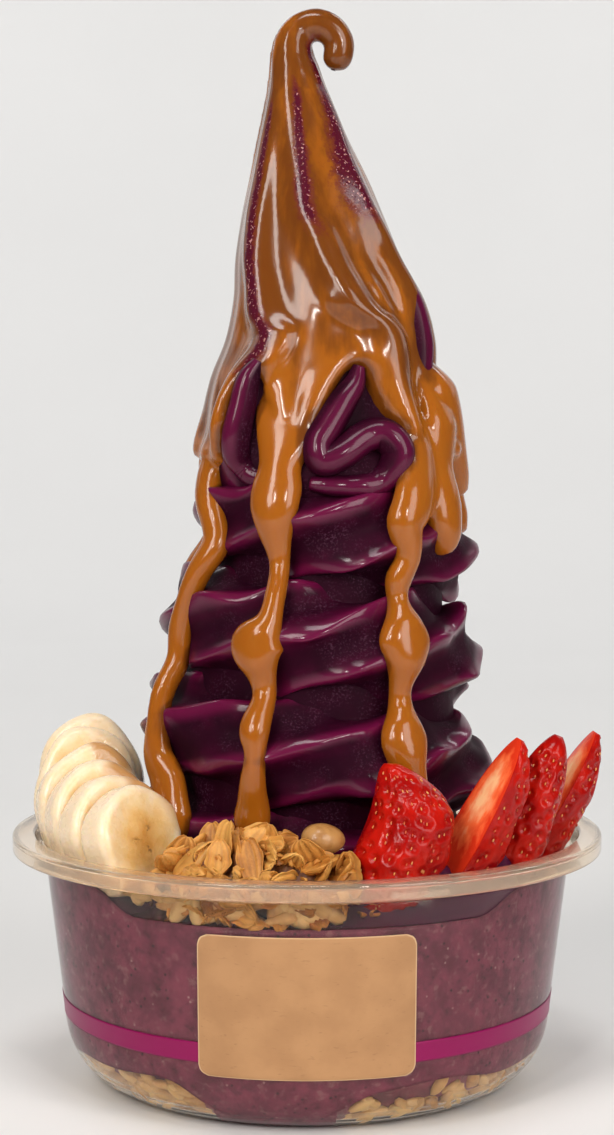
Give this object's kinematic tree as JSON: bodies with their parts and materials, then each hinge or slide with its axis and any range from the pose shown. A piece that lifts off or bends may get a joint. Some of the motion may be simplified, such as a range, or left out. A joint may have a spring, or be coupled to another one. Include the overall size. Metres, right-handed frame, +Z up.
{
  "type": "acai soft serve cup",
  "caption": "Clear round takeaway cup of acai on granola, topped with a tall piped acai swirl under caramel sauce, with sliced banana, halved strawberries and a heap of granola.",
  "frame": {"origin": "on the table, under the middle of the cup", "axes": "+Z up through the swirl, -Y towards the front, where the label is"},
  "size_m": [0.118, 0.118, 0.2119],
  "materials": {
    "clear_plastic": "clear, glossy",
    "kraft_paper": "matte",
    "granola": "dry toasted oats",
    "acai": "smooth frozen puree",
    "swirl": "satin frozen puree under glossy sauce",
    "banana": "moist fruit",
    "strawberry": "moist fruit",
    "nut": "roasted"
  },
  "bodies": {
    "root": {"cup": "clear_plastic", "label": "kraft_paper", "granola_bed": "granola", "acai_filling": "acai", "soft_serve_swirl": "swirl", "banana_slice_1": "banana", "banana_slice_2": "banana", "banana_slice_3": "banana", "banana_slice_4": "banana", "banana_slice_5": "banana", "banana_slice_6": "banana", "strawberry_1": "strawberry", "strawberry_2": "strawberry", "strawberry_3": "strawberry", "strawberry_4": "strawberry", "nut": "nut", "granola_heap": "granola"}
  },
  "joints": []
}
